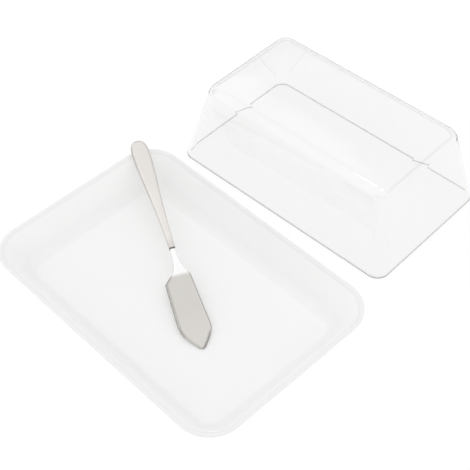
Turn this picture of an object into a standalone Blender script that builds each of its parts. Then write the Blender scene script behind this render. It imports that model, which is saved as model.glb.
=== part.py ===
"""Butter box: a frosted tray with sloping walls, a clear cover that stands beside it, and a butter
knife whose tip lies on the tray's floor and whose handle rests on the tray's lip.

Units are metres and +Z is up. The origin is the centre of the tray's underside, +X runs along the
tray's long side, and the cover stands on the +Y side. The form that takes the most skill is the pair
of thin drafted shells, whose corner radii, floor blend, lip and top blend all change along the wall,
together with the knife, whose flat blade runs out of a lofted neck."""

import math

import bmesh
import bpy
import numpy as np
from mathutils import Euler

# Tray: size over the lip, and the section of its wall
TRAY_LENGTH = 0.198
TRAY_WIDTH = 0.136
TRAY_HEIGHT = 0.0223
TRAY_WALL = 0.0016
TRAY_LIP = 0.0022
TRAY_LEAN = 0.0126
TRAY_LIP_BLEND = 0.0016
TRAY_FLOOR_BLEND = 0.010
TRAY_LIP_CORNER = 0.022
TRAY_FLOOR_CORNER = 0.007
TRAY_EDGE_ROUND = 0.0006

# Cover: it is sized to stand on the tray's floor, inside the sloping walls
COVER_SEAT_RISE = 0.0026
COVER_END_PLAY = 0.0003
COVER_SIDE_PLAY = 0.0033
COVER_HEIGHT = 0.0587
COVER_WALL = 0.0015
COVER_DRAFT = 0.0125
COVER_FOOT = 0.0012
COVER_TOP_BLEND = 0.0078
COVER_LOW_CORNER = 0.0085
COVER_TOP_CORNER = 0.0085
COVER_EDGE_ROUND = 0.0003

# Where the cover stands beside the tray
COVER_GAP = 0.0202
COVER_SHIFT = -0.0110
COVER_TURN = math.radians(2.65)

# Knife: blade, neck, tang and handle
BLADE_LENGTH = 0.0545
BLADE_WIDTH = 0.0195
BLADE_THICK = 0.0012
BLADE_GRIND = 0.0011
BLADE_EDGE = 0.0005
HANDLE_LENGTH = 0.087
HANDLE_WIDTH = 0.0118
HANDLE_THICK = 0.0044
COLLAR_WIDTH = 0.0038
COLLAR_THICK = 0.0034
COLLAR_LENGTH = 0.0024
GROOVE_WIDTH = 0.0006
GROOVE_DEPTH = 0.00018
NECK_LENGTH = 0.0172
NECK_ROOT_WIDTH = 0.0092
NECK_INSET = 0.00025
TANG_RADIUS = 0.0009
TANG_LENGTH = 0.012

# How the knife lies: the handle crosses the lip in the far left corner
KNIFE_HEADING = math.radians(153.2)
KNIFE_REST_ANGLE = math.radians(157.0)
KNIFE_OVERHANG = 0.0062

# Clearances between pieces
SEAT_GAP = 0.0003
OVERRUN = 0.002

# Smoothness of the round stretches, as numbers of facets
CORNER_STEPS = 12
BLEND_STEPS = 7
LIP_STEPS = 4
SECTION_POINTS = 24
EDGE_STEPS = 2
TANG_SIDES = 24
OUTLINE_STEPS = 8
NECK_RINGS = 18
HANDLE_RINGS = 14

# Edges steeper than the first are shaded sharp, and those steeper than the second are rounded
SHARP_ANGLE = math.radians(35)
ROUNDED_ANGLE = math.radians(60)

# The blade's outline: (share of its length from the tip, share of its width from the knife's axis,
# corner or curve), from the tip along the far side, across the neck and back along the near side
BLADE_OUTLINE_SHARES = (
    (0.006, 0.075, "AUTO"),
    (0.022, -0.025, "AUTO"),
    (0.048, -0.081, "AUTO"),
    (0.090, -0.168, "AUTO"),
    (0.182, -0.325, "AUTO"),
    (0.238, -0.386, "AUTO"),
    (0.320, -0.395, "AUTO"),
    (0.955, -0.296, "VECTOR"),
    (1.010, -0.212, "VECTOR"),
    (1.010, 0.234, "VECTOR"),
    (0.875, 0.574, "VECTOR"),
    (0.410, 0.604, "AUTO"),
    (0.297, 0.594, "AUTO"),
    (0.225, 0.548, "AUTO"),
    (0.130, 0.406, "AUTO"),
    (0.048, 0.232, "AUTO"),
    (0.022, 0.173, "AUTO"),
)

# The neck, from where it sinks into the blade to the joint: share of its length, share of the way in
# width from the joint to the root, share of the way in thickness from the joint to the blade
NECK_SHARES = (
    (-0.30, 1.00, 1.20),
    (0.00, 1.00, 0.90),
    (0.12, 0.70, 0.72),
    (0.30, 0.33, 0.48),
    (0.58, 0.11, 0.24),
    (1.00, 0.00, 0.00),
)

# The rings of the cover's top blend draw their corners in by this share of their own inset
COVER_BLEND_CORNER_SHARE = 0.90

# The handle's body, from the groove to its widest place: share of the length, share of the way in
# width and in thickness from the collar to the widest place
HANDLE_BODY_SHARES = (
    (0.00, 0.00, 0.00),
    (0.20, 0.14, 0.20),
    (0.40, 0.33, 0.42),
    (0.60, 0.58, 0.65),
    (0.80, 0.86, 0.86),
    (0.93, 0.98, 0.98),
    (1.00, 1.00, 1.00),
)
HANDLE_END_SHARE = 0.130
HANDLE_TIP_SHARE = 0.030
HANDLE_END_THIN_POWER = 0.3

# How square the knife's sections are: 2 is an oval, and more is boxier
HANDLE_SECTION_POWER = 5.0
HANDLE_END_POWER = 2.6
NECK_SECTION_POWER = 6.0

# Values that follow from those above. The tray's spreads are measured from its square floor corner.
tray_floor = TRAY_WALL
tray_rise = TRAY_HEIGHT - tray_floor
tray_slope = math.atan2(tray_rise, TRAY_LEAN)
tray_floor_half_x = TRAY_LENGTH / 2 - TRAY_LIP - TRAY_LEAN
tray_floor_half_y = TRAY_WIDTH / 2 - TRAY_LIP - TRAY_LEAN
floor_spread = -TRAY_FLOOR_BLEND * math.tan(tray_slope / 2)
crest_spread = TRAY_LEAN + TRAY_LIP_BLEND * math.tan(tray_slope / 2)
lip_spread = TRAY_LEAN + TRAY_LIP
seat_turn = math.acos(1 - COVER_SEAT_RISE / TRAY_FLOOR_BLEND)
seat_spread = floor_spread + TRAY_FLOOR_BLEND * math.sin(seat_turn)
cover_half_x = tray_floor_half_x + seat_spread - COVER_END_PLAY
cover_half_y = tray_floor_half_y + seat_spread - COVER_SIDE_PLAY
neck_end = BLADE_LENGTH + NECK_LENGTH
joint_at = neck_end + SEAT_GAP
knife_length = joint_at + HANDLE_LENGTH


def clear_scene():
    """Removes every object, so that the script can be run again from the text editor."""
    for obj in list(bpy.data.objects):
        bpy.data.objects.remove(obj, do_unlink=True)


def new_collection(name):
    """A collection of its own under the scene's."""
    made = bpy.data.collections.new(name)
    bpy.context.scene.collection.children.link(made)
    return made


def plain_material(name, colour, roughness, metallic=0.0, transmission=0.0):
    """A Principled BSDF with the piece's colour and gloss."""
    made = bpy.data.materials.new(name)
    made.use_nodes = True
    shader = made.node_tree.nodes["Principled BSDF"]
    shader.inputs["Base Color"].default_value = (*colour, 1.0)
    shader.inputs["Roughness"].default_value = roughness
    shader.inputs["Metallic"].default_value = metallic
    shader.inputs["Transmission Weight"].default_value = transmission
    return made


def add_object(name, mesh, collection, material=None, parent=None):
    """Puts a mesh into the scene as a named object with one material."""
    made = bpy.data.objects.new(name, mesh)
    collection.objects.link(made)
    made.parent = parent
    if material:
        mesh.materials.append(material)
    return made


def shade_round(mesh):
    """Smooth shading, with the real edges kept sharp."""
    mesh.shade_smooth()
    mesh.set_sharp_from_angle(angle=SHARP_ANGLE)


def rounded_rectangle(half_x, half_y, radius, height):
    """One level ring: four corner arcs, joined by the straight sides."""
    ring = []
    for corner, (side_x, side_y) in enumerate(((1, 1), (-1, 1), (-1, -1), (1, -1))):
        centre_x = side_x * (half_x - radius)
        centre_y = side_y * (half_y - radius)
        for step in range(CORNER_STEPS + 1):
            angle = math.pi / 2 * (corner + step / CORNER_STEPS)
            x = centre_x + radius * math.cos(angle)
            y = centre_y + radius * math.sin(angle)
            ring.append((x, y, height))
    return ring


def oval_section(x, half_y, half_z, power):
    """One ring across the knife's axis: a superellipse, rounder than a box and fuller than an oval."""
    ring = []
    for step in range(SECTION_POINTS):
        angle = 2 * math.pi * step / SECTION_POINTS
        c, s = math.cos(angle), math.sin(angle)
        y = half_y * math.copysign(abs(c) ** (2 / power), c)
        z = half_z * math.copysign(abs(s) ** (2 / power), s)
        ring.append((x, y, z))
    return ring


def loft(name, rings, close_first=True, close_last=True):
    """A skin through rings of equally many points, with or without a face over each end."""
    shape = bmesh.new()
    levels = [[shape.verts.new(point) for point in ring] for ring in rings]
    count = len(levels[0])
    for low, high in zip(levels, levels[1:]):
        for i in range(count):
            j = (i + 1) % count
            shape.faces.new((low[i], low[j], high[j], high[i]))
    if close_first:
        shape.faces.new(levels[0][::-1])
    if close_last:
        shape.faces.new(levels[-1])
    mesh = bpy.data.meshes.new(name)
    shape.to_mesh(mesh)
    shape.free()
    return mesh


def smooth_between(places, table, column):
    """Reads a smooth curve through one column of a table at the given places, by its first column.

    Each stretch is a cubic whose slopes at the ends are the means of the slopes on both sides."""
    xs = np.array([row[0] for row in table])
    ys = np.array([row[column] for row in table])
    slopes = np.gradient(ys, xs)
    at = np.clip(np.searchsorted(xs, places) - 1, 0, len(xs) - 2)
    width = xs[at + 1] - xs[at]
    t = np.clip((places - xs[at]) / width, 0, 1)
    start = ys[at] * (2 * t**3 - 3 * t**2 + 1) + slopes[at] * width * (t**3 - 2 * t**2 + t)
    end = ys[at + 1] * (3 * t**2 - 2 * t**3) + slopes[at + 1] * width * (t**3 - t**2)
    return start + end


def make_shell(obj, thickness, edge_round):
    """Gives an open skin its wall, on the side that its normals point away from, and rounds the free
    edge, whose right angles are the only ones steep enough to be taken."""
    wall = obj.modifiers.new("wall", "SOLIDIFY")
    wall.thickness = thickness
    wall.offset = -1.0
    wall.use_even_offset = True
    bevel = obj.modifiers.new("edge_round", "BEVEL")
    bevel.width = edge_round
    bevel.segments = EDGE_STEPS
    bevel.limit_method = "ANGLE"
    bevel.angle_limit = ROUNDED_ANGLE


def tray_profile():
    """The tray's inner face from the floor to the lip, as (spread, height) pairs. A blend lifts it off
    the floor, and a small one turns it out into the lip."""
    points = []
    for step in range(BLEND_STEPS + 1):
        turn = tray_slope * step / BLEND_STEPS
        spread = floor_spread + TRAY_FLOOR_BLEND * math.sin(turn)
        height = tray_floor + TRAY_FLOOR_BLEND * (1 - math.cos(turn))
        points.append((spread, height))
    for step in range(LIP_STEPS + 1):
        turn = tray_slope * (1 - step / LIP_STEPS)
        spread = crest_spread - TRAY_LIP_BLEND * math.sin(turn)
        height = TRAY_HEIGHT - TRAY_LIP_BLEND * (1 - math.cos(turn))
        points.append((spread, height))
    points.append((lip_spread, TRAY_HEIGHT))
    return points


def tray_ring(spread):
    """The tray's half length, half width and corner radius at one spread: the corners open up
    steadily from the floor to the lip."""
    share = (spread - floor_spread) / (lip_spread - floor_spread)
    corner = TRAY_FLOOR_CORNER + (TRAY_LIP_CORNER - TRAY_FLOOR_CORNER) * share
    return tray_floor_half_x + spread, tray_floor_half_y + spread, corner


def make_tray(collection):
    """The tray: rings that spread from the floor to the lip, given a wall below and outside."""
    rings = [rounded_rectangle(*tray_ring(spread), height) for spread, height in tray_profile()]
    # The floor's face looks up and the wall's face looks in, so the wall grows the other way
    mesh = loft("tray", rings, close_first=True, close_last=False)
    mesh.flip_normals()
    shade_round(mesh)
    frosted = plain_material("frosted_polypropylene", (0.90, 0.90, 0.90), 0.45, transmission=0.25)
    tray = add_object("tray", mesh, collection, frosted)
    make_shell(tray, TRAY_WALL, TRAY_EDGE_ROUND)
    return tray


def cover_profile():
    """The cover's outer face from its lower rim to its flat top, as (inset, height) pairs. The lowest
    stretch stands upright, so that the rim sits flat, and a blend turns the wall into the top."""
    lean = math.atan2(COVER_DRAFT, COVER_HEIGHT)
    setback = COVER_TOP_BLEND * math.tan((math.pi / 2 - lean) / 2)
    points = [(0.0, 0.0), (0.0, COVER_FOOT)]
    for step in range(BLEND_STEPS + 1):
        turn = lean + (math.pi / 2 - lean) * step / BLEND_STEPS
        inset = COVER_DRAFT + setback - COVER_TOP_BLEND * math.cos(turn)
        height = COVER_HEIGHT - COVER_TOP_BLEND * (1 - math.sin(turn))
        points.append((inset, height))
    return points


def make_cover(collection):
    """The cover: rings that draw in from the rim to the flat top, given a wall inside."""
    profile = cover_profile()
    rings = []
    for inset, height in profile:
        corner = COVER_LOW_CORNER + (COVER_TOP_CORNER - COVER_LOW_CORNER) * height / COVER_HEIGHT
        # Over the top blend the corner shrinks by as much as the ring draws in past the wall
        past_wall = max(0.0, inset - COVER_DRAFT * height / COVER_HEIGHT)
        corner -= past_wall * COVER_BLEND_CORNER_SHARE
        rings.append(rounded_rectangle(cover_half_x - inset, cover_half_y - inset, corner, height))
    mesh = loft("cover", rings, close_first=False, close_last=True)
    shade_round(mesh)
    clear = plain_material("clear_polystyrene", (0.97, 0.97, 0.97), 0.03, transmission=1.0)
    cover = add_object("cover", mesh, collection, clear)
    make_shell(cover, COVER_WALL, COVER_EDGE_ROUND)
    turned_half_y = cover_half_y * math.cos(COVER_TURN) + cover_half_x * math.sin(COVER_TURN)
    cover.location = (COVER_SHIFT, TRAY_WIDTH / 2 + COVER_GAP + turned_half_y, 0.0)
    cover.rotation_euler = (0.0, 0.0, COVER_TURN)
    return cover


def handle_rings():
    """The handle's sections from the joint to its round end: collar, groove, swelling body, end."""
    collar_y, collar_z = COLLAR_WIDTH / 2, COLLAR_THICK / 2
    groove_at = joint_at + COLLAR_LENGTH
    body_at = groove_at + GROOVE_WIDTH
    end_length = HANDLE_LENGTH * HANDLE_END_SHARE
    widest_at = knife_length - end_length
    stations = [
        (joint_at, collar_y - GROOVE_DEPTH, collar_z - GROOVE_DEPTH),
        (joint_at + GROOVE_DEPTH, collar_y, collar_z),
        (groove_at - GROOVE_DEPTH, collar_y, collar_z),
        (groove_at, collar_y - GROOVE_DEPTH, collar_z - GROOVE_DEPTH),
        (body_at - GROOVE_DEPTH, collar_y - GROOVE_DEPTH, collar_z - GROOVE_DEPTH),
    ]
    along = np.linspace(0, 1, HANDLE_RINGS)
    widths = smooth_between(along, HANDLE_BODY_SHARES, 1)
    depths = smooth_between(along, HANDLE_BODY_SHARES, 2)
    for share, width, depth in zip(along, widths, depths):
        x = body_at + (widest_at - body_at) * share
        half_y = collar_y + (HANDLE_WIDTH / 2 - collar_y) * width
        half_z = collar_z + (HANDLE_THICK / 2 - collar_z) * depth
        stations.append((x, half_y, half_z))
    # Seen from above, the end is half a superellipse. It keeps its thickness longer than its width.
    last_angle = math.acos(HANDLE_TIP_SHARE ** (HANDLE_END_POWER / 2))
    for step in range(1, BLEND_STEPS + 1):
        angle = last_angle * step / BLEND_STEPS
        left = math.cos(angle) ** (2 / HANDLE_END_POWER)
        x = widest_at + end_length * math.sin(angle) ** (2 / HANDLE_END_POWER)
        stations.append((x, HANDLE_WIDTH / 2 * left, HANDLE_THICK / 2 * left ** HANDLE_END_THIN_POWER))
    return [oval_section(x, half_y, half_z, HANDLE_SECTION_POWER) for x, half_y, half_z in stations]


def handle_underside(x):
    """How far the handle's underside lies below its axis, over the body and the round end."""
    rings = handle_rings()
    places = [ring[0][0] for ring in rings]
    depths = [max(point[2] for point in ring) for ring in rings]
    return float(np.interp(x, places, depths))


def neck_rings():
    """The neck's sections: a flat wedge inside the blade, which narrows and thickens to the joint."""
    joint_y = COLLAR_WIDTH / 2 - NECK_INSET
    joint_z = COLLAR_THICK / 2 - NECK_INSET
    along = np.linspace(NECK_SHARES[0][0], 1, NECK_RINGS)
    widths = smooth_between(along, NECK_SHARES, 1)
    thins = smooth_between(along, NECK_SHARES, 2)
    rings = []
    for share, wide, thin in zip(along, widths, thins):
        half_y = joint_y + (NECK_ROOT_WIDTH / 2 - joint_y) * wide
        half_z = joint_z + (BLADE_THICK / 2 - joint_z) * thin
        rings.append(oval_section(BLADE_LENGTH + NECK_LENGTH * share, half_y, half_z, NECK_SECTION_POWER))
    return rings


def blade_outline():
    """The blade's outline as a ring of flat points, read from a curve through its shares."""
    curve = bpy.data.curves.new("blade_outline", "CURVE")
    curve.dimensions = "2D"
    curve.fill_mode = "NONE"
    curve.resolution_u = OUTLINE_STEPS
    spline = curve.splines.new("BEZIER")
    spline.bezier_points.add(len(BLADE_OUTLINE_SHARES) - 1)
    spline.use_cyclic_u = True
    for point, (along, across, kind) in zip(spline.bezier_points, BLADE_OUTLINE_SHARES):
        point.co = (BLADE_LENGTH * along, BLADE_WIDTH * across, 0.0)
        point.handle_left_type = kind
        point.handle_right_type = kind
    holder = bpy.data.objects.new("blade_outline", curve)
    bpy.context.scene.collection.objects.link(holder)
    bpy.context.view_layer.update()
    mesh = bpy.data.meshes.new_from_object(holder.evaluated_get(bpy.context.evaluated_depsgraph_get()))
    bpy.data.objects.remove(holder, do_unlink=True)
    ring = np.array([vertex.co[:2] for vertex in mesh.vertices])
    bpy.data.meshes.remove(mesh)
    return ring


def drawn_in(ring, distance):
    """A flat ring whose sides all move inward by one distance, with mitred corners."""
    sides = np.roll(ring, -1, axis=0) - ring
    sides /= np.linalg.norm(sides, axis=1, keepdims=True)
    after = np.column_stack((-sides[:, 1], sides[:, 0]))
    before = np.roll(after, 1, axis=0)
    mitre = (before + after) / (1 + (before * after).sum(axis=1, keepdims=True))
    return ring + distance * mitre


def blade_plate():
    """The flat blade: its outline at the thin edge, drawn in to the full thickness by the grind."""
    edge = blade_outline()
    flat = drawn_in(edge, BLADE_GRIND)
    levels = (
        (flat, -BLADE_THICK / 2),
        (edge, -BLADE_EDGE / 2),
        (edge, BLADE_EDGE / 2),
        (flat, BLADE_THICK / 2),
    )
    return loft("knife_blade", [[(x, y, height) for x, y in ring] for ring, height in levels])


def round_bar(name, radius, start, end):
    """A cylinder along the knife's axis, from start to end."""
    shape = bmesh.new()
    bmesh.ops.create_cone(
        shape, cap_ends=True, segments=TANG_SIDES, radius1=radius, radius2=radius, depth=end - start
    )
    bmesh.ops.rotate(shape, verts=shape.verts, matrix=Euler((0.0, math.pi / 2, 0.0)).to_matrix())
    bmesh.ops.translate(shape, verts=shape.verts, vec=((start + end) / 2, 0.0, 0.0))
    mesh = bpy.data.meshes.new(name)
    shape.to_mesh(mesh)
    shape.free()
    return mesh


def helper(name, mesh, cutters, parent):
    """A shape that only joins or cuts another: it is drawn as wire and left out of the part."""
    made = add_object(name, mesh, cutters, parent=parent)
    made.hide_render = True
    made.display_type = "WIRE"
    return made


def boolean(obj, operation, other):
    """Joins or cuts obj with another closed mesh."""
    step = obj.modifiers.new(operation.lower(), "BOOLEAN")
    step.operation = operation
    step.object = other


def knife_seat(collection):
    """An empty at the knife's tip, turned so that the end of the blade's flat rests on the tray's floor
    and the handle's underside on the lip's inner crest, both SEAT_GAP clear."""
    crest_x, crest_y, corner = tray_ring(crest_spread)
    crossing_x = corner - crest_x + corner * math.cos(KNIFE_REST_ANGLE)
    crossing_y = crest_y - corner + corner * math.sin(KNIFE_REST_ANGLE)
    flat_end = BLADE_LENGTH * BLADE_OUTLINE_SHARES[0][0] + BLADE_GRIND
    reach = knife_length - KNIFE_OVERHANG
    underside = handle_underside(reach)
    deeper = underside - BLADE_THICK / 2
    span = math.hypot(reach - flat_end, deeper)
    tilt = math.asin(tray_rise / span) + math.atan2(deeper, reach - flat_end)
    run = reach * math.cos(tilt) + underside * math.sin(tilt)
    drop = BLADE_THICK / 2 * math.cos(tilt) - flat_end * math.sin(tilt)
    seat = bpy.data.objects.new("knife_seat", None)
    collection.objects.link(seat)
    seat.location = (
        crossing_x - run * math.cos(KNIFE_HEADING),
        crossing_y - run * math.sin(KNIFE_HEADING),
        tray_floor + SEAT_GAP + drop,
    )
    seat.rotation_euler = (0.0, -tilt, KNIFE_HEADING)
    return seat


def make_knife(collection, cutters):
    """The blade with its neck and tang, and the handle with the socket that takes the tang."""
    seat = knife_seat(collection)
    polished = plain_material("polished_steel", (0.66, 0.64, 0.61), 0.22, metallic=1.0)
    satin = plain_material("satin_steel", (0.80, 0.76, 0.73), 0.42, metallic=1.0)

    blade = add_object("knife_blade", blade_plate(), collection, polished, seat)
    neck = helper("neck_form", loft("neck_form", neck_rings()), cutters, seat)
    tang_end = neck_end + TANG_LENGTH
    tang_mesh = round_bar("tang_form", TANG_RADIUS, neck_end - OVERRUN, tang_end)
    tang = helper("tang_form", tang_mesh, cutters, seat)
    boolean(blade, "UNION", neck)
    boolean(blade, "UNION", tang)
    shade_round(blade.data)

    handle_mesh = loft("knife_handle", handle_rings())
    shade_round(handle_mesh)
    handle = add_object("knife_handle", handle_mesh, collection, satin, seat)
    socket_mesh = round_bar("socket_form", TANG_RADIUS + SEAT_GAP, joint_at - OVERRUN, tang_end + SEAT_GAP)
    socket = helper("socket_form", socket_mesh, cutters, seat)
    boolean(handle, "DIFFERENCE", socket)
    return blade, handle


def print_extent(obj):
    """Prints where a piece begins and ends along each axis."""
    evaluated = obj.evaluated_get(bpy.context.evaluated_depsgraph_get())
    points = np.array([evaluated.matrix_world @ vertex.co for vertex in evaluated.data.vertices])
    low, high = points.min(axis=0), points.max(axis=0)
    print(f"{obj.name}: {(1000 * low).round(1)} to {(1000 * high).round(1)} mm")


def main():
    clear_scene()
    pieces = new_collection("butter_box")
    cutters = new_collection("cutters")
    cutters.hide_render = True
    made = [make_tray(pieces), make_cover(pieces), *make_knife(pieces, cutters)]
    bpy.context.view_layer.update()
    for obj in made:
        print_extent(obj)


main()
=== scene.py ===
# %% [markdown]
# A butter box in three things that lie side by side: a frosted tray with sloping walls, a clear cover
# that stands next to it rim down, and a butter knife that lies in the tray. All three are thin and pale,
# so nearly everything that the eye reads is edges, wall thickness and reflections.
# The lesson builds each piece as a surface worked out with numpy, gives it a finish made of nodes, and
# lights it like a small product table. Lengths are metres, +Z is up, and the origin is the middle of the
# tray's underside.

import math

import bpy
import numpy as np
from mathutils import Euler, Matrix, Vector


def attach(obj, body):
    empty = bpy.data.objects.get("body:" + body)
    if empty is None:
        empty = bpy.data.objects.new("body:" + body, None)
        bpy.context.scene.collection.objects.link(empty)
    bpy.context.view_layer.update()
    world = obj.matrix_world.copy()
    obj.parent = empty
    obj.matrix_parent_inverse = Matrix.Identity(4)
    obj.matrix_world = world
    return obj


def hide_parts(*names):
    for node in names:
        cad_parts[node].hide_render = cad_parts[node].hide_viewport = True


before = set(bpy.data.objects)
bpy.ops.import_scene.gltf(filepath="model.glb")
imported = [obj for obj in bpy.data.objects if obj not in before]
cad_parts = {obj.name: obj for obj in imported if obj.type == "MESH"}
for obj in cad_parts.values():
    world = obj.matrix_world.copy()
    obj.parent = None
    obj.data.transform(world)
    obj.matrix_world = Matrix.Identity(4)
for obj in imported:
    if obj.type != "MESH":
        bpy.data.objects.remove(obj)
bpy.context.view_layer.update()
# What is printed is easier to read in cubic centimetres
CUBIC_CM = 1e6

# %% [markdown]
# The camera comes first, because it decides which surfaces matter most. The picture was taken from the
# near right, looking down at nearly 48 degrees with a long lens, so edges that are parallel stay almost
# parallel. Its place and turn were found by fitting the corners of the tray and of the cover.

# %% Camera
CAMERA_PLACE = (0.32943, -0.26620, 0.52574)
CAMERA_TURN = (42.066, 0.531, 45.795)
CAMERA_LENS = 85.28
CAMERA_SENSOR = 36.0

camera_data = bpy.data.cameras.new("camera")
camera_data.lens = CAMERA_LENS
camera_data.sensor_width = CAMERA_SENSOR
camera = bpy.data.objects.new("camera", camera_data)
camera.location = CAMERA_PLACE
camera.rotation_euler = [math.radians(angle) for angle in CAMERA_TURN]
bpy.context.scene.collection.objects.link(camera)
bpy.context.scene.camera = camera
print("camera looks down by", round(90 - CAMERA_TURN[0], 1), "degrees")

# %% [markdown]
# Every piece here is one closed skin: a grid of points whose columns run round the piece and whose rows
# run along it. A shell, such as the tray, is the same thing, since its skin goes out over the inner face,
# over the rim and back under the outer face. So one helper turns any such grid into a mesh. It joins
# each row to the next with four-sided faces, closes both ends on a pole, and uses the sign of the
# enclosed volume to make sure that the faces look outwards.

# %% From a grid of points to a closed skin
SHARP_ANGLE = math.radians(40)


def enclosed(points, triangles):
    """The volume inside a closed skin: a sixth of the sum of a . (b x c) over its triangles."""
    a, b, c = (points[triangles[:, corner]] for corner in range(3))
    return float((a * np.cross(b, c)).sum() / 6)


def skin(name, rows):
    """A closed mesh over points[row, column]: row i is joined to row i + 1, column j to column j + 1
    with the last one joined to the first, and each end row to a pole at its mean."""
    count, around = rows.shape[:2]
    index = np.arange(count * around).reshape(count, around)
    beside = np.roll(index, -1, axis=1)
    first_pole = count * around
    quads = np.stack((index[:-1], index[1:], beside[1:], beside[:-1]), axis=-1).reshape(-1, 4)
    first = np.stack((np.full(around, first_pole), index[0], beside[0]), axis=-1)
    last = np.stack((np.full(around, first_pole + 1), beside[-1], index[-1]), axis=-1)
    points = np.vstack((rows.reshape(-1, 3), rows[0].mean(axis=0), rows[-1].mean(axis=0)))
    fans = np.vstack((first, last))
    volume = enclosed(points, np.vstack((quads[:, :3], quads[:, [0, 2, 3]], fans)))
    if volume < 0:
        quads, fans = quads[:, ::-1], fans[:, ::-1]
    mesh = bpy.data.meshes.new(name)
    mesh.from_pydata(points.tolist(), [], quads.tolist() + fans.tolist())
    mesh.shade_smooth()
    mesh.set_sharp_from_angle(angle=SHARP_ANGLE)
    print(f"{name}: {len(quads) + len(fans)} faces, {abs(volume) * CUBIC_CM:.2f} cubic centimetres")
    return mesh


def piece(name, rows, body, slot, *nodes):
    """A skin as an object that rides on a body and stands for that body's solid nodes."""
    made = bpy.data.objects.new(name, skin(name, rows))
    bpy.context.scene.collection.objects.link(made)
    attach(made, body)
    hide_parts(*nodes)
    return made


# %% [markdown]
# The tray and the cover are both rounded rectangles that grow or shrink along a section of the wall.
# The section is a list of arcs, and the straight stretches are simply the gaps between them. For each of
# its points a level ring is laid: four corner arcs and four straight sides, with the corner radius and
# the two half sizes read from that point. Because the radii change along the wall, a plain bevelled
# box could not give these shells.

# %% Arcs and rounded rectangles
CORNER_STEPS = 20
SIDE_STEPS = 12
# The sizes of the rings on a flat, as shares of the flat's edge
FLAT_LEAST_SHARE, FLAT_RINGS = 0.1, 7
FLAT_SHARES = np.linspace(FLAT_LEAST_SHARE, 1.0, FLAT_RINGS)


def arc(centre, radius, start, end, steps):
    """Points at centre + radius (cos t, sin t), with t in degrees going evenly from start to end."""
    turn = np.radians(np.linspace(start, end, steps + 1))
    return np.column_stack((centre[0] + radius * np.cos(turn), centre[1] + radius * np.sin(turn)))


def rounded_rings(half_x, half_y, corner, height):
    """Level rings, one for each entry of the four arrays. A corner arc is (half - corner) from the middle
    plus corner (cos t, sin t), and the sides are straight lines from each arc to the next."""
    half_x, half_y, corner = (values[:, None, None] for values in (half_x, half_y, corner))
    side_x = np.array((1, -1, -1, 1))[:, None]
    side_y = np.array((1, 1, -1, -1))[:, None]
    turn = (np.arange(4)[:, None] + np.linspace(0, 1, CORNER_STEPS + 1)) * math.pi / 2
    x = side_x * (half_x - corner) + corner * np.cos(turn)
    y = side_y * (half_y - corner) + corner * np.sin(turn)
    arcs = np.stack((x, y), axis=-1)
    onward = np.roll(arcs, -1, axis=1)[:, :, :1]
    share = np.linspace(0, 1, SIDE_STEPS + 1)[1:-1, None]
    sides = arcs[:, :, -1:] * (1 - share) + onward * share
    level = np.concatenate((arcs, sides), axis=2).reshape(len(height), -1, 2)
    return np.dstack((level, np.repeat(height[:, None], level.shape[1], axis=1)))


def with_flats(half_x, half_y, corner, height):
    """Adds the flat at each end of a section: its end ring again and again, smaller towards the middle."""
    grown, shrunk = FLAT_SHARES[:-1], FLAT_SHARES[-2::-1]
    sizes = [np.concatenate((v[0] * grown, v, v[-1] * shrunk)) for v in (half_x, half_y, corner)]
    heights = np.concatenate((np.full(len(grown), height[0]), height, np.full(len(shrunk), height[-1])))
    return rounded_rings(*sizes, heights)


# %% [markdown]
# The tray is a thin moulding in milky polypropylene. Its wall rises outwards at about 59 degrees, meets
# the floor in a wide blend and turns over at the top into a narrow flat lip. The corners open up from a
# small radius at the floor, where the clear cover's small corners have to find room, to a large one at
# the lip. The arcs of the inner and the outer face are set so that the wall keeps its thickness.

# %% Tray sizes
TRAY_LENGTH = 0.198
TRAY_WIDTH = 0.136
TRAY_HEIGHT = 0.0223
TRAY_WALL = 0.0016
TRAY_LIP = 0.0022
TRAY_LEAN = 0.0126
TRAY_FLOOR_BLEND = 0.010
TRAY_LIP_BLEND = 0.0016
TRAY_UNDER_BLEND = 0.0008
TRAY_LIP_CORNER = 0.022
TRAY_FLOOR_CORNER = 0.007
TRAY_EDGE_ROUND = 0.0006
TRAY_FLOOR_STEPS, TRAY_CREST_STEPS, TRAY_EDGE_STEPS, TRAY_UNDER_STEPS = 16, 8, 5, 6

# An arc that turns by an angle starts its radius x tan(half the angle) before the corner that it rounds
tray_slope = math.degrees(math.atan2(TRAY_HEIGHT - TRAY_WALL, TRAY_LEAN))
half_slope = math.tan(math.radians(tray_slope / 2))
floor_spread = -TRAY_FLOOR_BLEND * half_slope
crest_spread = TRAY_LEAN + TRAY_LIP_BLEND * half_slope
lip_spread = TRAY_LEAN + TRAY_LIP
tray_floor_half = np.array((TRAY_LENGTH, TRAY_WIDTH)) / 2 - lip_spread
print("the tray's wall rises at", round(tray_slope, 1), "degrees")

# %% Tray


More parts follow.
